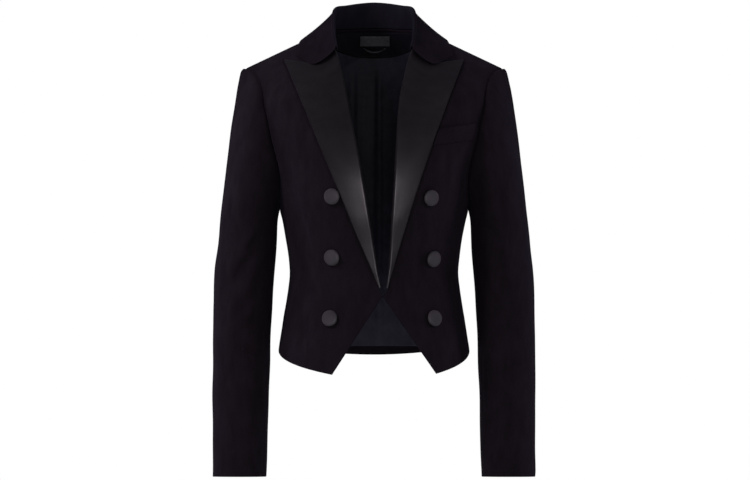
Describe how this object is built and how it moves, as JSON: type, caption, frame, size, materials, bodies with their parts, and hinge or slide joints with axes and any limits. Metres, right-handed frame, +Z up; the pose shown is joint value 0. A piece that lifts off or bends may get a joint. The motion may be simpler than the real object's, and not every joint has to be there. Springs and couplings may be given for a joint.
{
  "type": "jacket",
  "caption": "Cropped cutaway velvet dinner jacket with satin peak lapels, satin-covered buttons and a welt pocket, filled out as it is worn.",
  "frame": {"origin": "base of the neck, midway between the shoulders and level with the shoulder seams' neck ends, where the wearer's shoulders hold the jacket up", "axes": "+X to the wearer's left, -Y to the wearer's front, +Z up"},
  "size_m": [0.4838, 0.2385, 0.7103],
  "materials": {
    "velvet": "black velvet with a short nap",
    "satin": "black satin facing",
    "lining": "blue-black twill lining",
    "label": "plain black woven label, blank"
  },
  "bodies": {
    "root": {"front_right": "velvet", "front_left": "velvet", "back": "velvet", "top_sleeve_right": "velvet", "under_sleeve_right": "velvet", "top_sleeve_left": "velvet", "under_sleeve_left": "velvet", "collar": "velvet", "breast_pocket_welt": "velvet", "back_neck_facing": "velvet", "lapel_right": "satin", "lapel_left": "satin", "button_right_top": "satin", "button_right_middle": "satin", "button_right_bottom": "satin", "button_left_top": "satin", "button_left_middle": "satin", "button_left_bottom": "satin", "hanging_loop": "satin", "back_lining": "lining", "label": "label"}
  },
  "joints": []
}
